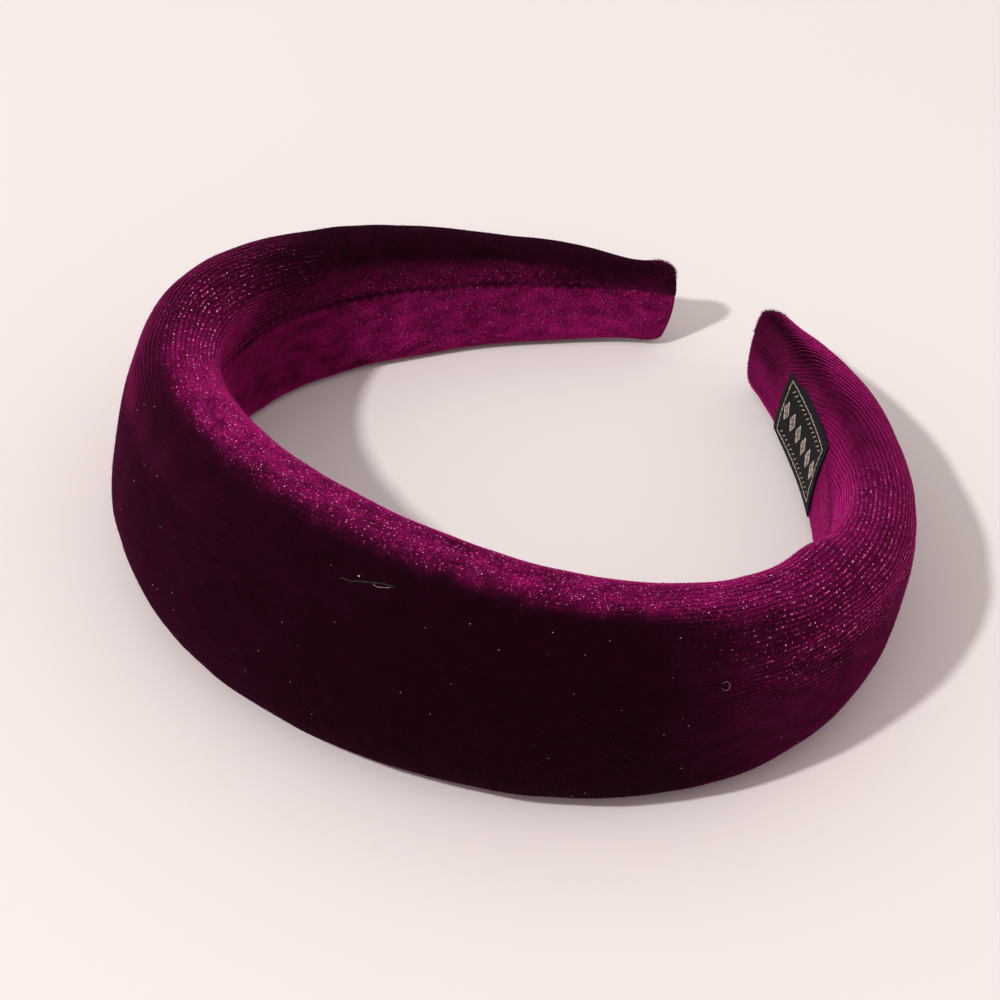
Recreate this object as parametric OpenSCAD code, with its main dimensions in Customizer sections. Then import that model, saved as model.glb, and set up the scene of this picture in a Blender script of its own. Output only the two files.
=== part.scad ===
// Padded velvet headband, a wide foam-filled band bent to a nearly closed C.
// It lies on its side: the crown is towards -Y, the two ends are towards +Y.
// +Z is up and the origin is the middle of the footprint, on the surface.
// One piece of velvet wraps the foam, so the band is one solid: a domed outer
// face, rolled edges and a flatter inner face with one seam along it. A woven
// label is sewn on the inner face beside the right-hand end.

/* [Band] */
// Length of one arm along the inner face, from the crown's middle to its end
arm_run = 190; // [150:1:220]
// How square the rolled edges are: 1 is an ellipse, less is squarer
edge_square = 0.78; // [0.6:0.01:1]
// How full the outer dome is: 1 is an ellipse, less is flatter on top
dome_full = 0.73; // [0.6:0.01:1]

/* [Ends] */
// Length over which each end rounds off
end_round = 4.5; // [2:0.5:12]
// Share of the width that is left at an end's flat tip
tip_width_share = 0.8; // [0.5:0.01:0.95]
// Share of the puff that is left at an end's flat tip
tip_puff_share = 0.4; // [0.2:0.01:0.8]
// How far the closed tip bulges past the last section
tip_bulge = 1.2; // [0:0.1:3]

/* [Seam] */
// Where the seam runs at the crown, as a share of the half width above the middle
seam_at_crown = -0.08; // [-0.2:0.01:0.4]
// Where the seam runs at the ends, as a share of the half width above the middle
seam_at_end = 0.36; // [0:0.01:0.4]
// Depth of the seam's groove
seam_depth = 1.2; // [0.4:0.1:2]
// Half the width of the seam's groove
seam_half = 0.8; // [0.4:0.1:1.5]

/* [Label] */
// Distance from the arm's end to the label's near edge
label_from_end = 18.5; // [8:0.5:30]
// Length of the label's upper edge along the arm
label_len = 28; // [15:1:40]
// How much further the label's lower edge reaches towards the arm's end
label_slant = 2; // [0:0.5:4]
// Height of the label's upper edge above the band's middle
label_top = 7; // [0:0.5:8]
// Height of the label across the arm
label_h = 16.5; // [8:0.5:17]
// Thickness of the label
label_t = 0.5; // [0.3:0.1:1]
// Gap between the label and the cover
label_gap = 0.2; // [0.15:0.05:0.3]

/* [Rest] */
// Angle the band turns about X to lie on the crown's and the arms' lower edges
rest_tilt = 5.5; // [0:0.1:12]
// How far the padding is pressed flat where it lies on the surface
press = 0.8; // [0.2:0.1:2]

/* [Hidden] */
// One row per section of an arm: share of its length, degrees the band turns
// in each centimetre, width across, puff of the outer face, puff inwards
turn = 1;
width = 2;
puff = 3;
roll = 4;
sections = [
    [0.00,  6.2, 46.5, 18.5, 3.4],
    [0.25, 10.4, 42.5, 14.5, 4.3],
    [0.50, 10.8, 36.0, 11.5, 4.8],
    [0.70,  6.4, 29.0, 10.5, 4.8],
    [0.86,  3.6, 22.5,  9.0, 2.8],
    [0.96,  3.5, 18.5,  6.5, 1.3],
    [1.00,  3.5, 18.5,  5.5, 0.8]
];
// One row per point of the inner face, from the upper edge to the lower one:
// place across as a share of the half width, depth as a share of the puff
across = 0;
deep = 1;
inner_face = [
    [0.97, 0.35], [0.90, 0.75], [0.80, 1.00], [0.65, 0.97], [0.50, 0.85],
    [0.00, 0.62], [-0.20, 0.65], [-0.35, 0.70], [-0.50, 0.78], [-0.65, 0.88],
    [-0.75, 0.93], [-0.83, 0.93], [-0.91, 0.75], [-0.97, 0.40]
];
rows_above_seam = 5;

path_steps = 95;
arm_stations = 30;
dome_step = 7.5;
cap_angles = [18, 36, 54, 72, 90];
label_columns = 10;
label_rows = 14;

velvet = [0.30, 0.02, 0.19];
woven = [0.06, 0.06, 0.07];

// A table's column eased between its rows, level at the first row
function row_at(x, t, i = 0) = i >= len(t) - 2 || x <= t[i + 1][0] ? i : row_at(x, t, i + 1);
function slope(t, i, c) =
    i == 0 ? 0 :
    i == len(t) - 1 ? (t[i][c] - t[i - 1][c]) / (t[i][0] - t[i - 1][0]) :
    (t[i + 1][c] - t[i - 1][c]) / (t[i + 1][0] - t[i - 1][0]);
function eased(x, c, t = sections) =
    let (i = row_at(x, t), h = t[i + 1][0] - t[i][0], s = (x - t[i][0]) / h)
    (2 * s ^ 3 - 3 * s ^ 2 + 1) * t[i][c] + (s ^ 3 - 2 * s ^ 2 + s) * h * slope(t, i, c)
    + (3 * s ^ 2 - 2 * s ^ 3) * t[i + 1][c] + (s ^ 3 - s ^ 2) * h * slope(t, i + 1, c);

// The curve one arm follows: its heading and position at even steps
path_step = arm_run / path_steps;
heading = [for (i = 0, a = 0; i <= path_steps;
    a = a + eased((i + 0.5) / path_steps, turn) * path_step / 10, i = i + 1) a];
path = [for (i = 0, p = [0, 0]; i <= path_steps; p = p + path_step * ahead(i), i = i + 1) p];
function ahead(i) = let (a = (heading[i] + heading[min(i + 1, path_steps)]) / 2) [cos(a), sin(a)];
along_x = [for (i = [0:path_steps]) [i / path_steps, path[i].x]];
along_y = [for (i = [0:path_steps]) [i / path_steps, path[i].y]];
along_a = [for (i = [0:path_steps]) [i / path_steps, heading[i]]];

// A point n outwards from the curve and z across it, on the right (1) or left (-1) arm
function placed(side, x, n, z) =
    let (a = lookup(x, along_a)) [side * (lookup(x, along_x) + n * sin(a)), lookup(x, along_y) - n * cos(a), z];

// Sizes of the section at a place along the arm, rounded off at the end
function rounding(x) = sqrt(max(0, 1 - (1 - min(1, (1 - x) * arm_run / end_round)) ^ 2));
function kept(share, x) = share + (1 - share) * rounding(x);
function half_w(x) = eased(x, width) / 2 * kept(tip_width_share, x);
function puff_at(x) = eased(x, puff) * kept(tip_puff_share, x);
function roll_at(x) = eased(x, roll) * kept(tip_puff_share, x);
function seam_z(x) = half_w(x) * (seam_at_crown + (seam_at_end - seam_at_crown) * x);
function power(v, e) = sign(v) * abs(v) ^ e;

// The inner face's depth at a height z, without the seam's groove
inner_depths = [for (r = inner_face) [-r[across], r[deep]]];
function inner_n(x, z) = -roll_at(x) * lookup(-z / half_w(x), inner_depths);

// One section: over the dome from the upper edge to the lower one, then back up the inner face
function section(side, x) =
    let (h = half_w(x), o = puff_at(x), s = seam_z(x), rows = len(inner_face))
    concat(
        [for (a = [0:dome_step:180]) placed(side, x, o * power(sin(a), dome_full), h * power(cos(a), edge_square))],
        [for (i = [rows - 1:-1:rows_above_seam]) inner_point(side, x, min(h * inner_face[i][across], s - 2 * seam_half))],
        [inner_point(side, x, s - seam_half), inner_point(side, x, s, seam_depth), inner_point(side, x, s + seam_half)],
        [for (i = [rows_above_seam - 1:-1:0]) inner_point(side, x, h * inner_face[i][across])]
    );
function inner_point(side, x, z, sunk = 0) = placed(side, x, inner_n(x, z) + sunk, z);

// Places of the sections from the crown's middle to one end
arm_places = concat(
    [for (i = [0:arm_stations - 1]) i / (arm_stations - 1) * (1 - end_round / arm_run)],
    [for (a = cap_angles) 1 - end_round / arm_run * (1 - sin(a))]
);
last = len(arm_places) - 1;
rings = concat([for (i = [last:-1:1]) section(-1, arm_places[i])], [for (x = arm_places) section(1, x)]);
around = len(rings[0]);
tips = [for (side = [-1, 1]) placed(side, 1, puff_at(1) / 2, 0) + tip_bulge * forward(side)];
function forward(side) = let (a = heading[path_steps]) [side * cos(a), sin(a), 0];

// Lying down: turned about X, pressed flat below and moved over the origin
function turned(p) =
    [p.x, p.y * cos(rest_tilt) + p.z * sin(rest_tilt), p.z * cos(rest_tilt) - p.y * sin(rest_tilt)];
all_turned = [for (r = rings) for (p = r) turned(p)];
floor_z = min([for (p = all_turned) p.z]) + press;
middle_y = (min([for (p = all_turned) p.y]) + max([for (p = concat(all_turned, [for (t = tips) turned(t)])) p.y])) / 2;
function lying(p) = let (q = turned(p)) [q.x, q.y - middle_y, max(0, q.z - floor_z)];

// Triangles between rows of points, each row a closed loop of the given length
function tube_faces(loops, count) = [
    for (i = [0:loops - 2]) for (j = [0:count - 1])
        let (k = (j + 1) % count, a = i * count + j, b = i * count + k, c = a + count, d = b + count)
        each [[a, d, b], [a, c, d]]
];
function end_faces(first, count, centre, flip) = [
    for (j = [0:count - 1]) let (a = first + j, b = first + (j + 1) % count)
        flip ? [a, b, centre] : [b, a, centre]
];

padded_band();
label();

module padded_band() {
    rows = len(rings);
    points = [for (p = concat([for (r = rings) each r], tips)) lying(p)];
    color(velvet)
    polyhedron(points, concat(
        tube_faces(rows, around),
        end_faces(0, around, rows * around, true),
        end_faces((rows - 1) * around, around, rows * around + 1, false)
    ));
}

// The label follows the inner face, its back label_gap clear of the cover. A loop
// is the label's section at a share t of its length, from its upper edge down
function label_point(t, down, clear) =
    let (x = 1 - (label_from_end + label_len * (1 - t) - label_slant * t * down) / arm_run,
        z = label_top - label_h * down)
    placed(1, x, inner_n(x, z) - clear, z);
function label_loop(t) = concat(
    [for (i = [0:label_rows]) label_point(t, i / label_rows, label_gap)],
    [for (i = [label_rows:-1:0]) label_point(t, i / label_rows, label_gap + label_t)]
);

module label() {
    loops = [for (i = [0:label_columns]) label_loop(i / label_columns)];
    count = len(loops[0]);
    color(woven)
    polyhedron([for (p = [for (l = loops) each l]) lying(p)], concat(
        tube_faces(label_columns + 1, count),
        strip_faces(0, count, true),
        strip_faces(label_columns * count, count, false)
    ));
}

// A flat strip's end: quads between its front row and its back row
function strip_faces(first, count, flip) = [
    for (j = [0:count / 2 - 2])
        let (a = first + j, b = a + 1, d = first + count - 1 - j, c = d - 1)
        each (flip ? [[a, b, c], [a, c, d]] : [[b, a, c], [a, d, c]])
];
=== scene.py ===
# %% [markdown]
# # A padded velvet headband
# The real thing is a springy strip covered with foam and wrapped in one sheet of velvet, which is sewn
# shut along the inner face. It lies on its side. This lesson wraps the velvet as a grid of cloth, lets
# a short cloth simulation settle it over the foam, sews the seam and the label, and then works on the
# light, because velvet is mostly a matter of how its pile leans.

# %% Load the frame
import math

import bmesh
import bpy
import numpy as np
from mathutils import Matrix, Vector, noise


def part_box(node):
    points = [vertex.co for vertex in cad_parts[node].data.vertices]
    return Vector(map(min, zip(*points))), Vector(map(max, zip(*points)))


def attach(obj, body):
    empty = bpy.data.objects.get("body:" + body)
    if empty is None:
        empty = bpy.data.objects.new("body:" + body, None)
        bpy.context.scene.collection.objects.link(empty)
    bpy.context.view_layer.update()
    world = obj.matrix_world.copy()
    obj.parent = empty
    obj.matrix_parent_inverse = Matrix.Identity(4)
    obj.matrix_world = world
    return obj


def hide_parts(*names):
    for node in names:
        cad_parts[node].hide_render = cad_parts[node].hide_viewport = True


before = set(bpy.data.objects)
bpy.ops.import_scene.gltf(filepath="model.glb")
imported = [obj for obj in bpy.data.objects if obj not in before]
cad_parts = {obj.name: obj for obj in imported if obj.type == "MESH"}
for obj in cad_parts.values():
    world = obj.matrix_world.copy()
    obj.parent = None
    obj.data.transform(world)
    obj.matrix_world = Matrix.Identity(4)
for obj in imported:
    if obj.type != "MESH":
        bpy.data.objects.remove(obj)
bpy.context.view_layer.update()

print("CAD nodes:", sorted(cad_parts))

# %% [markdown]
# ## The sizes of the band
# The frame holds the true form. The cover could be cut from that solid, but then the cloth would know
# nothing of its own length and width. So it follows the same few sections as the solid, from the same
# short table: each row is a place along an arm, from the crown's middle to the end. Lengths are in
# millimetres, and everything is turned into metres at the moment when it is put in its place. The inner
# face has two tables, because the padding under the label is fuller.

# %% Sizes and the table of sections
MM = 0.001
ARM_RUN = 190.0
END_ROUND = 4.5
TIP_WIDTH_SHARE, TIP_PUFF_SHARE, TIP_BULGE = 0.8, 0.4, 1.2
EDGE_SQUARE, DOME_FULL = 0.78, 0.73
SEAM_AT_CROWN, SEAM_AT_END = -0.08, 0.36
REST_TILT, PRESS = math.radians(5.5), 0.8
TURN, WIDTH, PUFF, ROLL = 1, 2, 3, 4
SECTIONS = np.array([
    [0.00, 6.2, 46.5, 18.5, 3.4],
    [0.25, 10.4, 42.5, 14.5, 4.3],
    [0.50, 10.8, 36.0, 11.5, 4.8],
    [0.70, 6.4, 29.0, 10.5, 4.8],
    [0.86, 3.6, 22.5, 9.0, 2.8],
    [0.96, 3.5, 18.5, 6.5, 1.3],
    [1.00, 3.5, 18.5, 5.5, 0.8],
])
INNER_FACE = np.array([
    [0.97, 0.35], [0.90, 0.75], [0.80, 1.00], [0.65, 0.97], [0.50, 0.85], [0.00, 0.62], [-0.20, 0.65],
    [-0.35, 0.70], [-0.50, 0.78], [-0.65, 0.88], [-0.75, 0.93], [-0.83, 0.93], [-0.91, 0.75], [-0.97, 0.40],
])
LABEL_ARM_FACE = np.array([
    [0.97, 0.28], [0.90, 0.44], [0.80, 0.56], [0.65, 0.70], [0.50, 0.81], [0.25, 0.94], [0.00, 1.02],
    [-0.35, 1.05], [-0.65, 1.00], [-0.75, 0.95], [-0.83, 0.90], [-0.91, 0.72], [-0.97, 0.40],
])
FULLER_FROM, FULLER_TO = 0.40, 0.62
print(len(SECTIONS), "sections along each arm of", ARM_RUN, "mm")

# %% [markdown]
# ## The curve that the arms follow
# Inside the real band is a springy strip, and a bent strip is easiest to describe by how fast it turns.
# A Bezier curve could be pulled into this shape by hand, but its length would change with each pull.
# Here, adding up small turns gives the heading, and adding up small steps in that heading gives the
# curve, so the arm keeps its length. The columns of the table are eased between their rows with cubic
# curves, as a maker's flexible ruler would do.


# %% Ease the table's columns and add up the curve
def eased(x, column):
    rows, values = SECTIONS[:, 0], SECTIONS[:, column]
    slopes = np.gradient(values)
    slopes[1:-1] = (values[2:] - values[:-2]) / (rows[2:] - rows[:-2])
    slopes[0], slopes[-1] = 0, (values[-1] - values[-2]) / (rows[-1] - rows[-2])
    i = np.clip(np.searchsorted(rows, x) - 1, 0, len(rows) - 2)
    h = rows[i + 1] - rows[i]
    s = (x - rows[i]) / h
    return (
        (2 * s**3 - 3 * s**2 + 1) * values[i] + (s**3 - 2 * s**2 + s) * h * slopes[i]
        + (3 * s**2 - 2 * s**3) * values[i + 1] + (s**3 - s**2) * h * slopes[i + 1]
    )


PATH_STEPS = 95
step = ARM_RUN / PATH_STEPS
shares = np.linspace(0, 1, PATH_STEPS + 1)
heading = np.radians(np.append(0, np.cumsum(eased(shares[:-1] + 0.5 / PATH_STEPS, TURN) * step / 10)))
middle_heading = (heading[:-1] + heading[1:]) / 2
path_x = np.append(0, np.cumsum(np.cos(middle_heading) * step))
path_y = np.append(0, np.cumsum(np.sin(middle_heading) * step))
print("an arm turns", round(math.degrees(heading[-1])), "degrees")
print("it ends", round(path_x[-1], 1), "mm from the middle")


# %% Put a point beside the curve, and size the section there
def step_up(low, high, value):
    t = np.clip((value - low) / (high - low), 0, 1)
    return t * t * (3 - 2 * t)


def placed(side, x, out, z):
    a = np.interp(x, shares, heading)
    along_x, along_y = np.interp(x, shares, path_x), np.interp(x, shares, path_y)
    return np.stack([side * (along_x + out * np.sin(a)), along_y - out * np.cos(a), z + 0 * out], -1)


def kept(share, x):
    rounding = np.sqrt(np.clip(1 - (1 - np.minimum(1, (1 - x) * ARM_RUN / END_ROUND)) ** 2, 0, 1))
    return share + (1 - share) * rounding


def half_width(x):
    return eased(x, WIDTH) / 2 * kept(TIP_WIDTH_SHARE, x)


def seam_height(x):
    return half_width(x) * (SEAM_AT_CROWN + (SEAM_AT_END - SEAM_AT_CROWN) * x)


def inner_depth(side, x, z):
    """The padding under the label is fuller, so that arm's inner face has no hollow along it."""
    roll = eased(x, ROLL) * kept(TIP_PUFF_SHARE, x)
    hollow, full = (np.interp(-z / half_width(x), -t[:, 0], t[:, 1]) for t in (INNER_FACE, LABEL_ARM_FACE))
    fuller = step_up(FULLER_FROM, FULLER_TO, side * x)
    return -roll * (hollow * (1 - fuller) + full * fuller)


print("the band is", round(2 * float(half_width(0.0)), 1), "mm wide at the crown and",
      round(2 * float(half_width(1.0)), 1), "mm at the tips")


# %% [markdown]
# ## One section of the cover
# The velvet starts at the seam, runs down the inner face, round the lower edge, up over the dome, round
# the upper edge and back down to the seam. Each of these stretches gets its own number of columns, so
# that the same column is at the same place of the cloth in every section. A circle could be pushed into
# this shape, but its points would drift round the band. Columns are closer together beside the seam,
# where the cloth is gathered.

# %% Draw the section's line
EDGE_STARTS_AT = 55.0
FACE_POINTS, DOME_POINTS = 80, 361
INNER_FACE_ENDS_AT = 0.97


def section_line(side, x):
    h, puff, seam = half_width(x), eased(x, PUFF) * kept(TIP_PUFF_SHARE, x), seam_height(x)
    low = np.linspace(seam, -INNER_FACE_ENDS_AT * h, FACE_POINTS)
    high = np.linspace(INNER_FACE_ENDS_AT * h, seam, FACE_POINTS)
    a = np.radians(np.linspace(180, 0, DOME_POINTS))
    dome = np.stack([
        puff * np.abs(np.sin(a)) ** DOME_FULL,
        h * np.sign(np.cos(a)) * np.abs(np.cos(a)) ** EDGE_SQUARE,
    ], -1)
    lower_face, upper_face = (np.stack([inner_depth(side, x, z), z], -1) for z in (low, high))
    line = np.concatenate([lower_face, dome, upper_face])
    edge_starts = FACE_POINTS + int(DOME_POINTS * (180 - EDGE_STARTS_AT) / 180)
    return line, [0, FACE_POINTS, edge_starts, FACE_POINTS + DOME_POINTS, len(line) - 1]


print("a section's line has", len(section_line(1, 0.0)[0]), "points")

# %% Smooth the line and share it out in columns
INNER_STRIP, OUTER_DOME, UPPER_EDGE, ROLLED_EDGE = 34, 46, 18, 42
EVEN_POINTS, CROWDING = 900, 1.35
KINK_SMOOTHING, TIP_SMOOTHING_SHARE = 1.3, 0.3


def points_at(at, length, line):
    """The points of a line at the given lengths along it."""
    return np.stack([np.interp(at, length, line[:, k]) for k in (0, 1)], -1)


def smooth_line(line, reach):
    """Rounds the line's kinks: each point becomes the mean of its stretch of the given reach."""
    length = np.append(0, np.cumsum(np.linalg.norm(np.diff(line, axis=0), axis=1)))
    even = np.linspace(0, length[-1], EVEN_POINTS)
    points = points_at(even, length, line)
    width = max(1, int(reach / (even[1] - even[0])))
    padded = np.concatenate([
        2 * points[0] - points[width:0:-1], points, 2 * points[-1] - points[-2:-width - 2:-1],
    ])
    kernel = np.hanning(2 * width + 3)[1:-1]
    kernel /= kernel.sum()
    rounded = np.stack([np.convolve(padded[:, k], kernel, "valid") for k in (0, 1)], -1)
    return points_at(length, even, rounded), length


def section_columns(side, x):
    """Points [outwards, across] of a section, with their lengths along the cloth from dome and seam."""
    line, marks = section_line(side, x)
    line, length = smooth_line(line, KINK_SMOOTHING * kept(TIP_SMOOTHING_SHARE, x))
    stretches = []
    counts, crowds = (INNER_STRIP, OUTER_DOME, UPPER_EDGE, ROLLED_EDGE), (CROWDING, 1.0, 1.0, -CROWDING)
    for start, end, count, crowd in zip(marks[:-1], marks[1:], counts, crowds):
        f = np.linspace(0, 1, count, endpoint=False)
        f = f**crowd if crowd > 0 else 1 - (1 - f) ** -crowd
        stretches.append(length[start] + (length[end] - length[start]) * f)
    at = np.append(np.concatenate(stretches), length[-1])
    middle = length[FACE_POINTS + DOME_POINTS // 2]
    return points_at(at, length, line), at - middle, at


crown_line, _, crown_at = section_columns(1, 0.0)
print("at the crown,", len(crown_line), "columns share", round(float(crown_at[-1]), 1), "mm of cloth")


# %% Lay the columns out along both arms
RINGS_A_ARM = 290
CAP_ANGLES = np.radians([12, 24, 36, 48, 60, 75, 90])
arm_places = np.concatenate([
    np.linspace(0, 1 - END_ROUND / ARM_RUN, RINGS_A_ARM),
    1 - END_ROUND / ARM_RUN * (1 - np.sin(CAP_ANGLES)),
])
ring_sides = np.concatenate([-np.ones(len(arm_places) - 1), np.ones(len(arm_places))])
ring_places = np.concatenate([arm_places[:0:-1], arm_places])
end_way = math.cos(heading[-1]), math.sin(heading[-1])
points, cloth_v, from_seam = [], [], []
for side, x in zip(ring_sides, ring_places):
    columns, v, at = section_columns(side, x)
    near_tip = max(0.0, 1 - (1 - x) * ARM_RUN / END_ROUND)
    bulge = TIP_BULGE * near_tip**2 * (1 - np.clip(columns[:, 1] / half_width(x), -1, 1) ** 2)
    bulge_way = np.array([side * end_way[0], end_way[1], 0])
    points.append(placed(side, x, columns[:, 0], columns[:, 1]) + bulge[:, None] * bulge_way)
    cloth_v.append(v)
    from_seam.append(np.minimum(at, at[-1] - at))
points, cloth_v, from_seam = np.array(points), np.array(cloth_v), np.array(from_seam)
cloth_u = (ring_sides * ring_places * ARM_RUN)[:, None] + 0 * cloth_v
column_share = np.arange(points.shape[1]) / (points.shape[1] - 1)
print("the cover is a grid of", points.shape[:2], "points")

# %% [markdown]
# ## Lying down
# The band rests on the lower edge of its crown and on both arms. The object could be turned for this,
# but a finished piece keeps its place in its mesh. So the grid is turned about X by a few degrees, moved
# over the origin and pressed flat where it meets the surface. The place comes from the frame's own box,
# so the cover can't drift away from the solid that it replaces.

# %% Turn the grid and set it on the surface
TURNED = np.array([
    [1, 0, 0],
    [0, math.cos(REST_TILT), math.sin(REST_TILT)],
    [0, -math.sin(REST_TILT), math.cos(REST_TILT)],
])
band_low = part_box("padded_band")[0]
turned = points @ TURNED.T
SHIFT = np.array([0, band_low.y / MM - turned[..., 1].min(), -turned[..., 2].min() - PRESS])


def lying(p):
    q = p @ TURNED.T + SHIFT
    q[..., 2] = np.maximum(q[..., 2], 0)
    return q


cover_points = turned + SHIFT
print("moved by", SHIFT.round(2), "mm")

# %% [markdown]
# ## The cover as one sheet of velvet
# A tube could be sculpted for the cover, but the real one is cut flat and sewn, and a grid is the honest
# start for a sheet: its rows run along the band and its columns run round it. Each vertex is bent to its
# place, and the two long edges meet at the seam, where they are merged. The UV map keeps the flat
# cloth's own lengths, so a weave drawn on it follows the band round its bends.


# %% Turn a bmesh into a piece
def in_scene(name, data):
    """An object with the given data, linked to the scene."""
    made = bpy.data.objects.new(name, data)
    bpy.context.scene.collection.objects.link(made)
    return made


def piece_from(bm, name):
    mesh = bpy.data.meshes.new(name)
    bm.to_mesh(mesh)
    bm.free()
    return in_scene(name, mesh)


# %% Make a sheet from a grid of places
WELD = 0.02 * MM


def sheet_from_grid(name, grid, maps, close=True):
    """maps gives each UV map's name and its two grids of lengths in mm."""
    rings, columns = grid.shape[:2]
    bm = bmesh.new()
    layers = [(bm.loops.layers.uv.new(key), u * MM, v * MM) for key, (u, v) in maps.items()]
    number = bm.verts.layers.int.new("grid_place")
    bmesh.ops.create_grid(bm, x_segments=columns - 1, y_segments=rings - 1, size=0.5)
    bm.verts.ensure_lookup_table()
    where = {}
    for vert in bm.verts:
        r, c = round((vert.co.y + 0.5) * (rings - 1)), round((vert.co.x + 0.5) * (columns - 1))
        where[vert] = (r, c)
        vert[number] = r * columns + c
        vert.co = Vector(grid[r, c]) * MM
    for face in bm.faces:
        face.smooth = True
        for loop in face.loops:
            r, c = where[loop.vert]
            for layer, u, v in layers:
                loop[layer].uv = (u[r, c], v[r, c])
    if close:
        bmesh.ops.remove_doubles(bm, verts=bm.verts, dist=WELD)
        bmesh.ops.holes_fill(bm, edges=[e for e in bm.edges if e.is_boundary], sides=0)
        bmesh.ops.recalc_face_normals(bm, faces=bm.faces)
        print(name, "has", sum(1 for e in bm.edges if not e.is_manifold), "open edges")
    return piece_from(bm, name)


print("points closer than", round(WELD / MM, 3), "mm are merged along the seam")


# %% [markdown]
# ## Foam under the cloth
# The inner strip is glued to the stiff core, and the rest of the velvet is stretched over soft foam.
# Moving every point outwards would swell it everywhere alike. A cloth simulation with a little pressure
# from inside shows where such a cover swells and where it is held. It runs on a coarse copy of the grid,
# and only its offsets are carried over to the fine one, scaled and capped so that the band keeps its
# measured outline. The cloth starts a little too tight, because it grows as it settles.

# %% Directions on the cover
FRONT_COLUMN = INNER_STRIP + 26


def unit(v):
    return v / np.maximum(np.linalg.norm(v, axis=-1, keepdims=True), 1e-9)


def directions(grid):
    """The way round the band, the way along it and the way out of the cloth, at every point."""
    round_way, along_way = unit(np.gradient(grid, axis=1)), unit(np.gradient(grid, axis=0))
    out = unit(np.cross(round_way, along_way))
    return round_way, along_way, out * np.sign(-out[len(out) // 2, FRONT_COLUMN, 1])


print("the outer face of the crown is at column", FRONT_COLUMN)


# %% Where the cloth is held
RING_STEP, COLUMN_STEP = 8, 4
HELD_FROM, HELD_SHARE = 122.0, 0.80


def coarse_part(grid):
    return grid[::RING_STEP, ::COLUMN_STEP]


free = np.ones(coarse_part(cloth_u).shape)
free[:, :INNER_STRIP // COLUMN_STEP + 1] = free[:, -1:] = 0
free[[0, -1]] = 0
free[(coarse_part(cloth_u) > HELD_FROM) & (column_share[None, ::COLUMN_STEP] > HELD_SHARE)] = 0
print("the cloth is free at", int(free.sum()), "of", free.size, "places")

# %% Set up the cloth and let it settle
SWELL_FRAMES, SWELL_FORCE, SLACK = 20, 60.0, 0.1
CLOTH_MASS, CLOTH_QUALITY, FREE_PIN = 0.2, 6, 0.1
print("the cloth gets", SWELL_FRAMES, "frames and a pressure of", SWELL_FORCE)


def settled_places(start):
    """The coarse grid after a short simulation with pressure, in metres."""
    pad = sheet_from_grid("swelling_cover", start, {}, close=False)
    pad.data.flip_normals()
    pins = pad.vertex_groups.new(name="glued")
    for i, share in enumerate(free.ravel()):
        pins.add([i], 1.0 - (1.0 - FREE_PIN) * share, "REPLACE")
    cloth = pad.modifiers.new("cover", "CLOTH")
    cloth.settings.quality = CLOTH_QUALITY
    cloth.settings.mass = CLOTH_MASS
    cloth.settings.vertex_group_mass = "glued"
    cloth.settings.use_pressure = True
    cloth.settings.uniform_pressure_force = SWELL_FORCE
    cloth.settings.effector_weights.gravity = 0
    cloth.point_cache.frame_start, cloth.point_cache.frame_end = 1, SWELL_FRAMES
    for moment in range(1, SWELL_FRAMES + 1):
        bpy.context.scene.frame_set(moment)
    bpy.context.view_layer.update()
    settled = pad.evaluated_get(bpy.context.evaluated_depsgraph_get()).to_mesh()
    after = np.empty(len(settled.vertices) * 3)
    settled.vertices.foreach_get("co", after)
    bpy.context.scene.frame_set(1)
    bpy.data.objects.remove(pad)
    return after.reshape(start.shape)


# %% Carry the swelling over to the fine grid
SWELL_SHARE, SWELL_CAP, SMOOTHING_PASSES = 0.45, 0.35, 3


def swollen(grid):
    """How far each place of the coarse grid moves, in mm."""
    coarse, out = coarse_part(grid), coarse_part(directions(grid)[2])
    after = settled_places(coarse - out * (SLACK * free)[..., None])
    moved = (after / MM - coarse) * SWELL_SHARE
    outwards = (moved * out).sum(-1)
    print("the cloth settles outwards by", outwards.min().round(2), "to", outwards.max().round(2), "mm")
    size = np.linalg.norm(moved, axis=-1, keepdims=True)
    moved = moved * np.minimum(1, SWELL_CAP / np.maximum(size, 1e-6))
    for _ in range(SMOOTHING_PASSES):
        moved[1:-1] = (moved[:-2] + 2 * moved[1:-1] + moved[2:]) / 4
        moved[:, 1:-1] = (moved[:, :-2] + 2 * moved[:, 1:-1] + moved[:, 2:]) / 4
    return moved * free[..., None]


def spread_out(coarse, rings, columns):
    """Fills in a coarse grid's values between its rings and columns."""
    coarse_rings = np.arange(coarse.shape[0]) * RING_STEP
    coarse_columns = np.arange(coarse.shape[1]) * COLUMN_STEP
    by_column = np.stack([[
        np.interp(np.arange(columns), coarse_columns, row[:, k]) for k in range(3)
    ] for row in coarse])
    return np.stack([[
        np.interp(np.arange(rings), coarse_rings, by_column[:, k, c]) for c in range(columns)
    ] for k in range(3)]).transpose(2, 1, 0)


cover_points = cover_points + spread_out(swollen(cover_points), *cover_points.shape[:2])


# %% [markdown]
# ## Seam, gathers and dents
# The seam sinks into the padding between two lips. Sewing a straight edge to a curved one leaves small
# puckers, which fade a few millimetres away from the thread. Bump could hint at them, but a seam also
# casts a shadow, so they are added to the grid's own points. The foam itself is not perfectly even, and
# the ends are cut and tucked by hand, so a short table places the swells and hollows that show.

# %% Directions after the cloth has settled
nap, length_way, outward = directions(cover_points)
print("the crown faces", outward[len(outward) // 2, FRONT_COLUMN].round(2))

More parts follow.
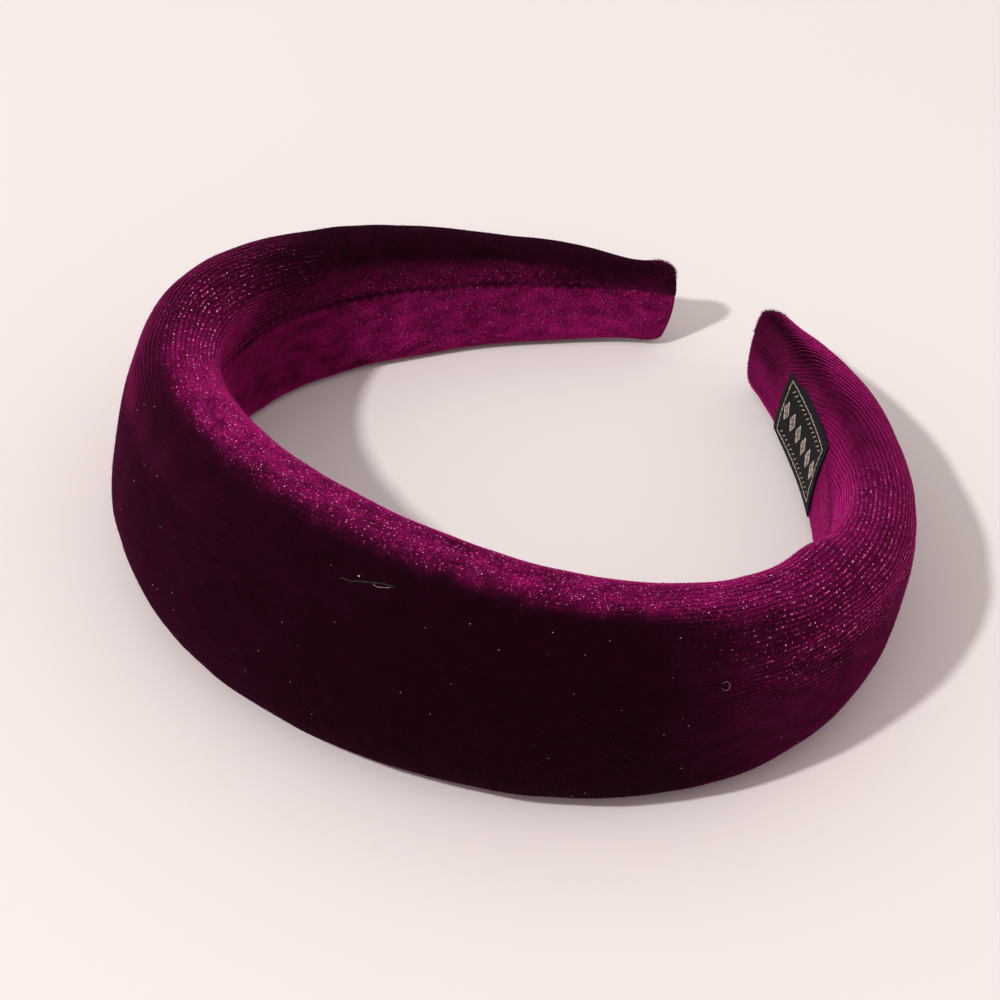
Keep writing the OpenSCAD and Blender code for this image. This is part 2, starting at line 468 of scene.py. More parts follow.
# %% Sink the seam and gather the cloth beside it
SEAM_DEPTH, SEAM_HALF = 1.2, 0.45
LIP_HEIGHT, LIP_AT, LIP_WIDTH = 0.25, 1.5, 1.0
SCALLOP_PITCH, SCALLOP = 2.4, 0.50
PUCKER_HEIGHT, PUCKER_REACH = 0.20, 2.2
LABEL_FROM_END, LABEL_LEN, LABEL_SLANT, LABEL_TOP, LABEL_H, LABEL_GAP = 18.5, 28.0, 2.0, 7.0, 16.5, 0.2
FLAT_FROM, FLAT_TO, FLAT_REACH, FLAT_FADE = 64, 86, 10, 3
THIN_END_LEN, FADE_BEFORE_LABEL, FADE_PAST_LABEL = 14, 5, 4
LOWER_LIP, LOWER_GATHER = 0.2, 0.4

upper_side = column_share[None, :] > 0.5
arm_share = np.abs(cloth_u) / ARM_RUN
flat_side = step_up(FLAT_FROM, FLAT_TO, cloth_u)
flat_side = flat_side * (1 - step_up(FLAT_REACH, FLAT_REACH + FLAT_FADE, from_seam))
label_near = ARM_RUN - LABEL_FROM_END
label_far = label_near - LABEL_LEN
under_label = flat_side * step_up(label_far - FADE_BEFORE_LABEL, label_far, cloth_u) * (
    1 - step_up(label_near, label_near + FADE_PAST_LABEL, cloth_u))
thin_end = np.clip((1 - arm_share) * ARM_RUN / THIN_END_LEN, 0.1, 1)
wander = np.sin(cloth_u / 17.0) * 1.4 + np.sin(cloth_u / 7.3 + 1.0) * 0.9
stitch_wave = np.sin(2 * math.pi * cloth_u / SCALLOP_PITCH + wander)
from_line = np.abs(np.where(upper_side, 1, -1) * from_seam - SCALLOP * stitch_wave)
slit = 0.55 + 0.45 * np.sin(cloth_u / 4.1 + 2 * np.sin(cloth_u / 13.0))
groove = -SEAM_DEPTH * slit * np.exp(-((from_line / SEAM_HALF) ** 2))
lip = LIP_HEIGHT * np.exp(-(((from_seam - LIP_AT) / LIP_WIDTH) ** 2)) * np.where(upper_side, 1.0, LOWER_LIP)
gather = PUCKER_HEIGHT * stitch_wave * np.exp(-from_seam / PUCKER_REACH)
gather = gather * np.where(upper_side, 1.0, LOWER_GATHER)
relief = (groove + lip + gather) * (1 - flat_side) * thin_end
print("the seam sinks by", round(-float(relief.min()), 2), "mm where it is deepest")

# %% Swells and hollows of the foam
# arm (-1 left, 1 right), share along it, share round the cover, reach along and round in mm, height
DENTS = [
    [-1, 0.79, 0.68, 12, 9, -1.0],
    [-1, 0.955, 0.68, 6, 8, -0.6],
    [-1, 0.99, 0.80, 4, 7, 0.5],
    [-1, 0.45, 0.63, 13, 12, 0.85],
    [-1, 0.35, 0.50, 10, 14, -0.9],
    [-1, 0.20, 0.36, 15, 15, 1.0],
    [-1, 0.085, 0.35, 14, 14, 0.75],
    [1, 0.05, 0.42, 24, 16, -0.4],
    [1, 0.30, 0.45, 30, 20, 0.6],
    [1, 0.475, 0.72, 7, 8, 1.3],
    [1, 0.62, 0.62, 16, 12, 0.45],
    [1, 0.83, 0.60, 24, 12, 1.5],
]
for side, share, round_share, reach_u, reach_v, height in DENTS:
    column = round(round_share * (cover_points.shape[1] - 1))
    du = (cloth_u - side * share * ARM_RUN) / reach_u
    dv = (cloth_v - cloth_v[:, column:column + 1]) / reach_v
    relief = relief + height * np.exp(-(du**2) - dv**2)
LUMP_HEIGHT, BIG_LUMP, SMALL_LUMP, SEAM_CALM = 0.35, 16.0, 7.0, 6
uneven = np.array([[
    noise.noise(Vector(p) / BIG_LUMP) + 0.5 * noise.noise(Vector(p) / SMALL_LUMP) for p in ring
] for ring in cover_points])
relief = relief + LUMP_HEIGHT * uneven * np.clip(from_seam / SEAM_CALM, 0, 1) * thin_end
cover_points = cover_points + outward * relief[..., None]
cover_points[:, 0] = cover_points[:, -1] = (cover_points[:, 0] + cover_points[:, -1]) / 2
cover_points[..., 2] = np.maximum(cover_points[..., 2], 0)
print("relief from", round(float(relief.min()), 2), "to", round(float(relief.max()), 2), "mm")

# %% [markdown]
# The cloth has fine ribs, less than a millimetre apart, which lie along the band. As geometry they would
# need millions of triangles, so they are bump, and the cover only has to say where they run. Towards
# the ends the cloth is pulled sideways to close the tip, so there the ribs turn across the arm. A second
# UV map holds the line that each rib follows.

# %% Make the cover
RIB_TURN, RIB_TURN_FROM = 1.1, 0.74
rib_line = cloth_v - RIB_TURN * np.maximum(0, arm_share - RIB_TURN_FROM) ** 2 * ARM_RUN
velvet_cover = sheet_from_grid(
    "velvet_cover", cover_points, {"cloth": (cloth_u, cloth_v), "rib_lines": (cloth_u, rib_line)})
print("velvet_cover:", len(velvet_cover.data.polygons), "faces")


# %% [markdown]
# The pile leans across the band: up the outer face, over the rolled edge and down to the seam. How far
# it leans and how open the ribs are change from place to place, because velvet keeps the marks of every
# hand. How bright it is and how much it glitters are painted light: the velvet's sheen and shade are
# painted into its colour, lit where the pile catches the light and shaded where one looks down into it,
# and the glints are put most where the light catches the pile. They could be painted by hand in Vertex
# Paint, but then nobody could read them here. Short tables paint these values on the grid, one patch
# over the other, and they are stored on the vertices as attributes.

# %% How the pile leans and how bright it is
# each row: along the band from and to in mm, round it from and to as a share, fade along, fade round, value
LEANS = [
    [-200, 200, 0.24, 0.55, 1, 0.02, 0.80],
    [-200, 200, 0.58, 1.00, 1, 0.05, 0.28],
    [-60, 100, 0.665, 1.00, 20, 0.02, -0.10],
    [-200, -60, 0.58, 1.00, 30, 0.05, 0.50],
    [-200, -95, 0.80, 1.00, 14, 0.06, 0.30],
    [-112, -50, 0.72, 1.00, 15, 0.04, 0.05],
    [110, 200, 0.55, 1.00, 30, 0.05, 0.10],
    [92, 150, 0.92, 1.00, 8, 0.04, 0.00],
]
# The tones are painted light: they paint the velvet's sheen and shade into its colour.
PAINTED_LIGHT_TONES = [
    [-200, 200, 0.24, 1.00, 1, 0.01, 0.012],
    [-70, -10, 0.24, 0.63, 35, 0.02, 0.038],
    [-200, -105, 0.50, 0.85, 20, 0.05, 0.030],
    [-200, -40, 0.00, 0.245, 10, 0.015, 0.50],
    [-50, 60, 0.00, 0.245, 14, 0.015, 0.48],
    [-200, -160, 0.00, 0.245, 20, 0.015, 0.60],
    [-84, -40, 0.00, 0.245, 5, 0.015, 0.85],
    [40, 200, 0.00, 0.245, 10, 0.015, 0.42],
    [92, 150, 0.00, 0.245, 8, 0.01, 0.37],
    [-60, 20, 0.648, 1.00, 25, 0.028, 0.45],
    [10, 80, 0.640, 1.00, 25, 0.020, 0.42],
    [-64, -16, 0.655, 1.00, 14, 0.03, 0.68],
    [72, 130, 0.27, 0.50, 16, 0.05, 0.24],
    [70, 200, 0.42, 1.00, 22, 0.10, 0.24],
    [80, 200, 0.62, 1.00, 22, 0.04, 0.41],
    [132, 158, 0.60, 0.74, 12, 0.05, 0.18],
    [100, 160, 0.70, 1.00, 14, 0.05, 0.28],
    [96, 116, 0.86, 0.94, 8, 0.03, 0.22],
    [96, 150, 0.93, 1.00, 8, 0.03, 0.36],
    [158, 200, 0.50, 1.00, 14, 0.10, 0.065],
    [164, 192, 0.50, 0.93, 7, 0.05, 0.010],
    [150, 172, 0.93, 1.00, 8, 0.03, 0.16],
    [172, 200, 0.00, 0.245, 10, 0.015, 0.32],
    [182, 200, 0.50, 1.00, 4, 0.08, 0.03],
    [177, 200, 0.00, 0.10, 5, 0.04, 0.05],
    [-98, -70, 0.55, 1.00, 18, 0.08, 0.11],
    [-105, -68, 0.76, 1.00, 12, 0.04, 0.06],
    [-165, -104, 0.81, 1.00, 10, 0.05, 0.255],
    [-200, -160, 0.84, 1.00, 12, 0.04, 0.08],
]
print(len(LEANS), "patches of lean and", len(PAINTED_LIGHT_TONES), "of tone")

# %% How open the ribs are and how much they glitter
# rows of the same kind
RIB_DEPTHS = [
    [-200, 200, 0.25, 1.00, 1, 0.02, 0.16],
    [-200, -112, 0.50, 1.00, 14, 0.04, 0.04],
    [-110, -50, 0.60, 0.80, 14, 0.04, 0.85],
    [-110, -60, 0.80, 0.92, 12, 0.05, 0.45],
    [62, 200, 0.52, 0.99, 24, 0.08, 1.00],
    [128, 200, 0.50, 1.00, 14, 0.08, 0.60],
    [92, 146, 0.90, 1.00, 10, 0.06, 0.12],
    [170, 190, 0.00, 0.25, 3, 0.01, 0.25],
    [176, 200, 0.50, 1.00, 6, 0.08, 0.25],
]
# Glints are put most on the rim and the bends, where the light catches the pile.
GLINTS = [
    [-200, 200, 0.25, 1.00, 1, 0.02, 0.03],
    [-75, 112, 0.632, 1.00, 18, 0.014, 0.78],
    [-60, 90, 0.80, 1.00, 18, 0.08, 0.45],
    [-112, -60, 0.60, 1.00, 14, 0.04, 0.60],
    [-85, -50, 0.64, 0.82, 12, 0.04, 1.00],
    [66, 130, 0.50, 1.00, 18, 0.08, 1.00],
    [148, 200, 0.50, 1.00, 12, 0.08, 0.30],
    [-200, -118.5, 0.00, 0.25, 3, 0.02, 0.45],
    [92, 142, 0.00, 0.25, 10, 0.02, 0.70],
    [-200, -100, 0.80, 1.00, 14, 0.06, 0.50],
    [-200, -172, 0.50, 1.00, 10, 0.06, 0.10],
]
print(len(RIB_DEPTHS), "patches of ribs and", len(GLINTS), "of glints")

# %% Lay the patches on the grid
RAGGED, BIG_TUFT, SMALL_TUFT = 0.007, 3.2, 1.3
ragged = np.array([[
    noise.noise(Vector(p) / BIG_TUFT) + noise.noise(Vector(p) / SMALL_TUFT) for p in ring
] for ring in cover_points])
ragged_share = column_share[None, :] + RAGGED * ragged * step_up(0.30, 0.40, column_share)[None, :]


def past(edge, fade, value):
    """0 before the edge, 1 past it, and a soft step between."""
    return step_up(edge - fade, edge + fade, value)


def painted(table):
    values = np.zeros_like(cloth_u)
    for u_from, u_to, round_from, round_to, fade_u, fade_round, value in table:
        patch = past(u_from, fade_u, cloth_u) * (1 - past(u_to, fade_u, cloth_u))
        if round_from > 0:
            patch = patch * past(round_from, fade_round, ragged_share)
        if round_to < 1:
            patch = patch * (1 - past(round_to, fade_round, ragged_share))
        values += (value - values) * patch
    return values


SLIT_HALF, SLIT_PAINTED_SHADE = 0.90, 0.95
lean_size, painted_light, rib_depth, glint = (painted(t) for t in (LEANS, PAINTED_LIGHT_TONES, RIB_DEPTHS, GLINTS))
in_slit = np.exp(-((from_line / SLIT_HALF) ** 2)) * (1 - flat_side) * thin_end * (0.45 + 0.55 * slit)
# Painted shade: the seam's slit is darker in colour, and its pile does not lean.
painted_light, lean_size = painted_light * (1 - SLIT_PAINTED_SHADE * in_slit), lean_size * (1 - in_slit)
print("tone from", round(float(painted_light.min()), 2), "to", round(float(painted_light.max()), 2))


# %% Store them on the cover's vertices
TOWARDS_CROWN = 0.6


def places_on_grid(mesh):
    """For each vertex of a sheet, its place in the flattened grid that it was made from."""
    numbers = np.empty(len(mesh.vertices), np.int32)
    mesh.attributes["grid_place"].data.foreach_get("value", numbers)
    mesh.attributes.remove(mesh.attributes["grid_place"])
    return numbers


def store(mesh, name, kind, values):
    attribute = mesh.attributes.new(name, kind, "POINT")
    field = "vector" if kind == "FLOAT_VECTOR" else "value"
    attribute.data.foreach_set(field, values.astype(np.float32).ravel())


left_top = (1 - step_up(-130, -80, cloth_u)) * step_up(0.50, 0.60, column_share)[None, :]
lean = nap * lean_size[..., None] + length_way * (TOWARDS_CROWN * left_top)[..., None]
index = places_on_grid(velvet_cover.data)
store(velvet_cover.data, "nap", "FLOAT_VECTOR", lean.reshape(-1, 3)[index])
for name, values in (("painted_light", painted_light), ("rib_depth", rib_depth), ("glint", glint)):
    store(velvet_cover.data, name, "FLOAT", values.reshape(-1)[index])
print("stored the lean of the pile on", len(index), "vertices")

# %% [markdown]
# ## Loose pile
# Velvet never ends in a clean line. Short closed spikes stand on the cover: thick fur where the cloth is
# cut and tucked at the two ends, a fringe along the seam, and a thin fuzz everywhere else. Hair
# particles could grow them, but only meshes are exported, and an operator for each spike would take
# minutes. So the corners of all the spikes are worked out together and joined in one mesh.

# %% Grow the loose pile
FUZZ_COUNT, END_NAP_COUNT, END_FUR_COUNT, SEAM_FRINGE_COUNT = 30000, 8000, 1300, 5500
FUZZ_LEN, END_NAP_LEN, END_FUR_LEN, FRINGE_LEN = 0.28, 0.30, 0.65, 0.6
SPIKE_HALF, ROOT_DEPTH, LEAN_OVER = 0.045, 0.08, 0.35
SHORTEST, LONGEST = 0.55, 1.2
chance = np.random.default_rng(7)


def between(grid, ring, column, ring_part, column_part):
    """A grid's value between four of its places."""
    near = grid[ring, column] * (1 - ring_part) + grid[ring + 1, column] * ring_part
    far = grid[ring, column + 1] * (1 - ring_part) + grid[ring + 1, column + 1] * ring_part
    return near * (1 - column_part) + far * column_part


def spots(weights, count):
    """Picks places on the grid: the share of each cell follows its weight."""
    area = np.linalg.norm(np.cross(
        np.diff(cover_points, axis=0)[:, :-1], np.diff(cover_points, axis=1)[:-1]), axis=-1)
    share = (weights[:-1, :-1] * area).ravel()
    cell = chance.choice(len(share), size=count, p=share / share.sum())
    ring, column = np.unravel_index(cell, area.shape)
    parts = chance.random(count)[:, None], chance.random(count)[:, None]
    grids = cover_points, outward, nap, length_way, painted_light[..., None]
    places, *ways, spot_painted_light = (between(grid, ring, column, *parts) for grid in grids)
    return places, *(unit(way) for way in ways), spot_painted_light[:, 0]


def spikes(places, out, across, along, length, spread):
    """Four-sided closed spikes: three corners a little under the cloth and one tip."""
    count = len(places)
    tip_way = out + across * chance.normal(LEAN_OVER, spread, (count, 1))
    tip_way = unit(tip_way + along * chance.normal(0, spread, (count, 1)))
    size = length * chance.uniform(SHORTEST, LONGEST, (count, 1))
    corners = [
        places - out * ROOT_DEPTH + (across * math.cos(a) + along * math.sin(a)) * SPIKE_HALF
        for a in (0, 2 * math.pi / 3, 4 * math.pi / 3)
    ]
    return np.stack(corners + [places + tip_way * size], 1)


print(FUZZ_COUNT + END_NAP_COUNT + END_FUR_COUNT + SEAM_FRINGE_COUNT, "spikes to place")

# %% Grow it where it belongs and join it
NAP_STARTS, CORNER_STARTS, CORNER_ENDS = (0.975, 0.992), (0.52, 0.60), (0.78, 0.86)
FRINGE_AT, FRINGE_REACH = 0.5, 0.5
no_label = 1 - under_label
at_end = step_up(*NAP_STARTS, arm_share) * no_label
at_top_corner = at_end * step_up(*CORNER_STARTS, column_share)
at_top_corner = at_top_corner * (1 - step_up(*CORNER_ENDS, column_share))
fringe = np.exp(-((from_seam - FRINGE_AT) / FRINGE_REACH) ** 2) * upper_side * no_label
groups = []
for weights, count, length, spread in (
    (no_label, FUZZ_COUNT, FUZZ_LEN, 0.25), (at_end, END_NAP_COUNT, END_NAP_LEN, 0.25),
    (at_top_corner, END_FUR_COUNT, END_FUR_LEN, 0.14), (fringe, SEAM_FRINGE_COUNT, FRINGE_LEN, 0.25),
):
    places, out, across, along, spike_painted_light = spots(weights, count)
    groups.append((spikes(places, out, across, along, length, spread), spike_painted_light))
corners = np.concatenate([g[0] for g in groups])
corners[..., 2] = np.maximum(corners[..., 2], 0)
spike_painted_lights = np.repeat(np.concatenate([g[1] for g in groups]), 4)
first = np.arange(len(corners))[:, None] * 4
spike_faces = np.concatenate([first + f for f in ([0, 1, 2], [0, 3, 1], [1, 3, 2], [2, 3, 0])])
pile_mesh = bpy.data.meshes.new("loose_pile")
pile_mesh.from_pydata((corners.reshape(-1, 3) * MM).tolist(), [], spike_faces.tolist())
pile_mesh.update()
loose_pile = in_scene("loose_pile", pile_mesh)
store(pile_mesh, "painted_light", "FLOAT", spike_painted_lights)
print("loose_pile:", len(corners), "spikes")

# %% [markdown]
# ## Lint
# Velvet collects lint. One dark thread and one pale curl lie on the front, with some pale specks of dust.
# A curve with a round bevel would do for the thread, but specks are too small and too many for curves.
# So both are short bars, laid just over the pile along short lists of places and joined by colour.

# %% Bars and where to put them
BAR_TAPER = 0.85


def add_bar(bm, start, end, half, lift_way):
    """One short thread between two points in mm, with its back towards the cloth."""
    start, end = Vector(start) * MM, Vector(end) * MM
    way = end - start
    if way.length < 1e-7:
        return
    side = Vector(lift_way).cross(way).normalized()
    up = way.cross(side).normalized()
    made = bmesh.ops.create_cone(
        bm, cap_ends=True, segments=6, radius1=half * MM, radius2=half * MM * BAR_TAPER, depth=way.length)
    turn = Matrix((side, up, way.normalized())).transposed().to_4x4()
    bmesh.ops.transform(bm, matrix=Matrix.Translation((start + end) / 2) @ turn, verts=made["verts"])


def finish_bars(bm, name):
    for face in bm.faces:
        face.smooth = True
    return piece_from(bm, name)


def on_cover(u, share, lift):
    """A point over the cover at a length along the band and a share round it, and its outward direction."""
    ring = np.interp(u, cloth_u[:, 0], np.arange(len(cloth_u)))
    column = share * (cover_points.shape[1] - 1)
    r, c = min(int(ring), len(cloth_u) - 2), min(int(column), cover_points.shape[1] - 2)
    return between(cover_points, r, c, ring - r, column - c) + outward[r, c] * lift, outward[r, c]


print("the crown's front lies at", on_cover(0.0, 0.5, 0.0)[0].round(1), "mm")

# %% Lay the lint on the front
DARK_LINT = [[4.6, 0.587], [6.3, 0.588], [7.7, 0.5925], [9.0, 0.595], [10.9, 0.599], [12.8, 0.600]]
PALE_END = [[9.6, 0.594], [10.3, 0.5935], [11.5, 0.596], [12.2, 0.598]]
PALE_CURL = [
    [61.0, 0.541], [61.5, 0.543], [62.0, 0.540], [62.25, 0.535], [61.9, 0.530], [61.4, 0.529], [61.0, 0.533],
]
BRIGHT_DOT = [[6.95, 0.5965], [7.2, 0.5965]]
DARK_HALF, PALE_HALF, CURL_HALF, DOT_HALF = 0.14, 0.026, 0.014, 0.13
SPECKS, SPECK_HALF_LEAST, SPECK_HALF_MOST = 60, 0.025, 0.06


def lay_line(bm, line, half, lift):
    for a, b in zip(line[:-1], line[1:]):
        (start, way), (end, _) = on_cover(*a, lift), on_cover(*b, lift)
        add_bar(bm, start, end, half, way)


bm = bmesh.new()
lay_line(bm, DARK_LINT, DARK_HALF, 0.12)
dark_lint = finish_bars(bm, "dark_lint")
bm = bmesh.new()
lay_line(bm, PALE_END, PALE_HALF, 0.20)
lay_line(bm, PALE_CURL, CURL_HALF, 0.13)
lay_line(bm, BRIGHT_DOT, DOT_HALF, 0.15)
for u, share in zip(chance.uniform(-70, 95, SPECKS), chance.uniform(0.32, 0.62, SPECKS)):
    speck = [[u, share], [u + chance.uniform(0.08, 0.2), share]]
    lay_line(bm, speck, chance.uniform(SPECK_HALF_LEAST, SPECK_HALF_MOST), 0.10)
pale_lint = finish_bars(bm, "pale_lint")
print("pale_lint:", len(pale_lint.data.polygons), "faces")

# %% [markdown]
# ## The label
# A black woven ribbon is sewn on the inner face of one arm. A flat box bent along the arm would gape at
# its corners, so it is a thin grid laid on the cover, made thick with solidify and softened at its edges
# with a bevel. It carries no lettering: it has a plain woven border and a row of small lozenges, as
# ribbon makers have always used.

# %% Lay the ribbon on the inner face
LABEL_COLUMNS, LABEL_ROWS = 48, 24
RIBBON_T, RIM_SOFTNESS = 0.35, 0.08
RIM_ANGLE = 1.0


def on_label(along, across, lift):
    """A point on the label: along and across from 0 to 1, lift in mm above its back."""
    x = 1 - (LABEL_FROM_END + LABEL_LEN * (1 - along) - LABEL_SLANT * along * across) / ARM_RUN
    z = LABEL_TOP - LABEL_H * across
    return lying(placed(1, x, inner_depth(1, x, z) - LABEL_GAP - lift, z))


grid_along, grid_across = np.meshgrid(
    np.linspace(0, 1, LABEL_COLUMNS + 1), np.linspace(0, 1, LABEL_ROWS + 1), indexing="ij")
label_points = on_label(grid_along, grid_across, 0.0)
woven_label = sheet_from_grid(
    "woven_label", label_points, {"cloth": (grid_along * LABEL_LEN, grid_across * LABEL_H)}, close=False)
bm = bmesh.new()
bm.from_mesh(woven_label.data)
bmesh.ops.recalc_face_normals(bm, faces=bm.faces)
half = np.array(0.5)
toward_hollow = Vector(on_label(half, half, 1.0) - on_label(half, half, 0.0))
bm.faces.ensure_lookup_table()
if bm.faces[len(bm.faces) // 2].normal.dot(toward_hollow) < 0:
    bmesh.ops.reverse_faces(bm, faces=bm.faces)
bmesh.ops.solidify(bm, geom=bm.faces[:], thickness=-RIBBON_T * MM)
bmesh.ops.recalc_face_normals(bm, faces=bm.faces)
rim = [e for e in bm.edges if len(e.link_faces) == 2 and e.calc_face_angle() > RIM_ANGLE]
bmesh.ops.bevel(bm, geom=rim, offset=RIM_SOFTNESS * MM, affect="EDGES", segments=2, profile=0.5, material=-1)
for face in bm.faces:
    face.smooth = True
bm.to_mesh(woven_label.data)
bm.free()
print("woven_label:", len(woven_label.data.polygons), "faces")

# %% [markdown]
# ## Threads
# The border and the lozenges are raised threads. Bump could draw them, but a raised thread catches the
# light along its side. Each one is a few short bars that follow the ribbon, a little uneven as woven
# threads are, and all of them are joined in one mesh.

# %% A thread, and a row of stitches
THREAD_HALF, THREAD_PART, THREAD_LIFT, THREAD_WANDER = 0.11, 1.2, 0.02, 0.05
THINNEST, THICKEST = 0.8, 1.15
BORDER_INSET = 2.0
STITCH_LEN, STITCH_GAP = 1.15, 0.2


def label_thread(bm, a, b):
    """Follows the ribbon's curve in short bars."""
    a, b = np.array(a, float), np.array(b, float)
    parts = max(1, round(float(np.linalg.norm(b - a)) / THREAD_PART))
    stops = [a + (b - a) * k / parts for k in range(parts + 1)]
    stops = [stop + chance.normal(0, THREAD_WANDER, 2) for stop in stops]
    shares_of_label = [(np.array(p[0] / LABEL_LEN), np.array(p[1] / LABEL_H)) for p in stops]
    ends = [on_label(along, across, RIBBON_T + THREAD_LIFT) for along, across in shares_of_label]
    for start, end in zip(ends[:-1], ends[1:]):
        add_bar(bm, start, end, THREAD_HALF * chance.uniform(THINNEST, THICKEST), toward_hollow)


def dashes(start, end, dash, gap):
    start, end = np.array(start, float), np.array(end, float)
    count = max(1, round(float(np.linalg.norm(end - start)) / (dash + gap)))
    part = (end - start) / count
    return [(start + part * k, start + part * (k + dash / (dash + gap))) for k in range(count)]


print("a stitch and its gap take", STITCH_LEN + STITCH_GAP, "mm")

# %% Weave the border and the lozenges
LOZENGES, LOZENGE_LONG, LOZENGE_HIGH = 6, 1.35, 2.1
FILLING = (-0.45, 0.0, 0.45)
TICKS, TICK_INSET, TICK_RUN, TICK_RISE, TICK_MARGIN = 14, 1.3, 0.9, 0.4, 1.2
left, right = BORDER_INSET, LABEL_LEN - BORDER_INSET
top, bottom = BORDER_INSET, LABEL_H - BORDER_INSET
frame_corners = [(left, top), (right, top), (right, bottom), (left, bottom)]
lines = []
for a, b in zip(frame_corners, frame_corners[1:] + frame_corners[:1]):
    lines += dashes(a, b, STITCH_LEN, STITCH_GAP)
middle = (top + bottom) / 2
for k in range(LOZENGES):
    cx = left + (right - left) * (k + 0.5) / LOZENGES
    corners = [
        (cx - LOZENGE_LONG, middle), (cx, middle - LOZENGE_HIGH),
        (cx + LOZENGE_LONG, middle), (cx, middle + LOZENGE_HIGH),
    ]
    lines += list(zip(corners, corners[1:] + corners[:1]))
    for t in FILLING:
        reach = LOZENGE_HIGH * (1 - abs(t))
        lines.append(((cx + t * LOZENGE_LONG, middle - reach), (cx + t * LOZENGE_LONG, middle + reach)))
for across in (top + TICK_INSET, bottom - TICK_INSET):
    for k in range(TICKS):
        x = left + TICK_MARGIN + (right - left - 2 * TICK_MARGIN) * k / TICKS
        lines.append(((x, across - TICK_RISE), (x + TICK_RUN, across + TICK_RISE)))
bm = bmesh.new()
for a, b in lines:
    label_thread(bm, a, b)
label_threads = finish_bars(bm, "label_threads")
print("label_threads:", len(lines), "threads")

# %% [markdown]
# ## Materials
# Every finish here is fibre, so each material needs the same few steps of node building. Placing nodes by
# hand in the editor is fine for one material. In a script, short helpers keep the recipe readable: they
# add a node, set its constants and link the rest.


# %% Helpers for node trees
def new_material(name):
    material = bpy.data.materials.new(name)
    material.use_nodes = True
    tree = material.node_tree
    tree.nodes.clear()
    out = tree.nodes.new("ShaderNodeOutputMaterial")
    shader = tree.nodes.new("ShaderNodeBsdfPrincipled")
    tree.links.new(shader.outputs["BSDF"], out.inputs["Surface"])
    return material, tree, shader


def fill(tree, socket, value):
    """Links the socket to another one, or sets it to a constant."""
    if isinstance(value, bpy.types.NodeSocket):
        tree.links.new(value, socket)
    else:
        socket.default_value = value


def set_inputs(tree, made, **sockets):
    """i0, i1 and so on are sockets by number, and other names are sockets by name."""
    for key, value in sockets.items():
        numbered = key[0] == "i" and key[1:].isdigit()
        fill(tree, made.inputs[int(key[1:])] if numbered else made.inputs[key.replace("_", " ")], value)


def node(tree, kind, settings=None, **sockets):
    made = tree.nodes.new(kind)
    for key, value in (settings or {}).items():
        setattr(made, key, value)
    set_inputs(tree, made, **sockets)
    return made


print("ready to add nodes")


# %% Sums as nodes
def maths(tree, operation, a, b=0.0, clamp=False):
    return node(tree, "ShaderNodeMath", {"operation": operation, "use_clamp": clamp}, i0=a, i1=b).outputs[0]


def times(tree, a, b, clamp=False):
    return maths(tree, "MULTIPLY", a, b, clamp)


def plus(tree, a, b, clamp=False):
    return maths(tree, "ADD", a, b, clamp)


def less(tree, a, b, clamp=False):
    return maths(tree, "SUBTRACT", a, b, clamp)


def vector_maths(tree, operation, **sockets):
    return node(tree, "ShaderNodeVectorMath", {"operation": operation}, **sockets).outputs[0]


print("ready to add up values")


# %% Colours, attributes and noise as nodes
def mix_colour(tree, factor, a, b):
    return node(tree, "ShaderNodeMix", {"data_type": "RGBA"}, i0=factor, i6=a, i7=b).outputs[2]


def attribute(tree, name, output="Fac"):
    return node(tree, "ShaderNodeAttribute", {"attribute_name": name}).outputs[output]


def object_place(tree):
    return node(tree, "ShaderNodeTexCoord").outputs["Object"]


def noise_in(tree, place, scale, detail, roughness=0.5):
    made = node(
        tree, "ShaderNodeTexNoise", None, Vector=place, Scale=scale, Detail=detail, Roughness=roughness)
    return made.outputs["Fac"]


def noise_on(tree, uv, stretch, detail):
    """Flat noise on a UV map, finer across the ribs than along them."""
    place, flat = vector_maths(tree, "MULTIPLY", i0=uv, i1=stretch + (1,)), {"noise_dimensions": "2D"}
    made = node(tree, "ShaderNodeTexNoise", flat, Vector=place, Scale=1.0, Detail=detail)
    return made.outputs["Fac"]


def turn_towards(tree, vector):
    return vector_maths(tree, "NORMALIZE", i0=vector)


print("ready to build finishes")

# %% [markdown]
# ## The velvet
# Velvet is dark where the eye looks down into the pile and bright where it sees the fibres from the
# side. Layer Weight could fake that, but it is the same from all sides, while real pile leans one way.
# So the shading normal is leant the way that the fibres lean, and most of the light comes from the
# sheen. On top of that, lit and shaded patches are painted into the colour, as painted light and shade.
# Ribs and single fibres are bump, and a few fibres catch the light as small glints, with their bright
# colour partly painted.

# %% The velvet's colours and sizes
# The velvet's colour is painted light: it runs from the shaded plum to the lit one by the painted tone.
PLUM_SHADED, PLUM_LIT = (0.0050, 0.0004, 0.0020, 1), (0.300, 0.0065, 0.115, 1)
# The glints' pink tints their metallic reflection, and is a painted highlight where a glint is only partly
# there.
GLINT_DIM, GLINT_BRIGHT = (1.0, 0.020, 0.34, 1), (1.0, 0.50, 0.80, 1)
SHEEN_TINT, SHEEN_WEIGHT, SHEEN_SOFTNESS = (1.0, 0.022, 0.38, 1), 0.8, 0.32
RIB_PITCH, GRAIN_LEN = 0.93 * MM, 0.31 * MM
RIB_BUMP, PILE_BUMP = 0.30 * MM, 0.12 * MM

velvet, tree, shader = new_material("plum_velvet")
rib_uv = node(tree, "ShaderNodeUVMap", {"uv_map": "rib_lines"}).outputs[0]
place = object_place(tree)
nap_way = attribute(tree, "nap", "Vector")
painted_light_mask, rib_mask, glint_mask = (attribute(tree, name) for name in ("painted_light", "rib_depth", "glint"))
print("there is a rib every", round(RIB_PITCH / MM, 2), "mm")

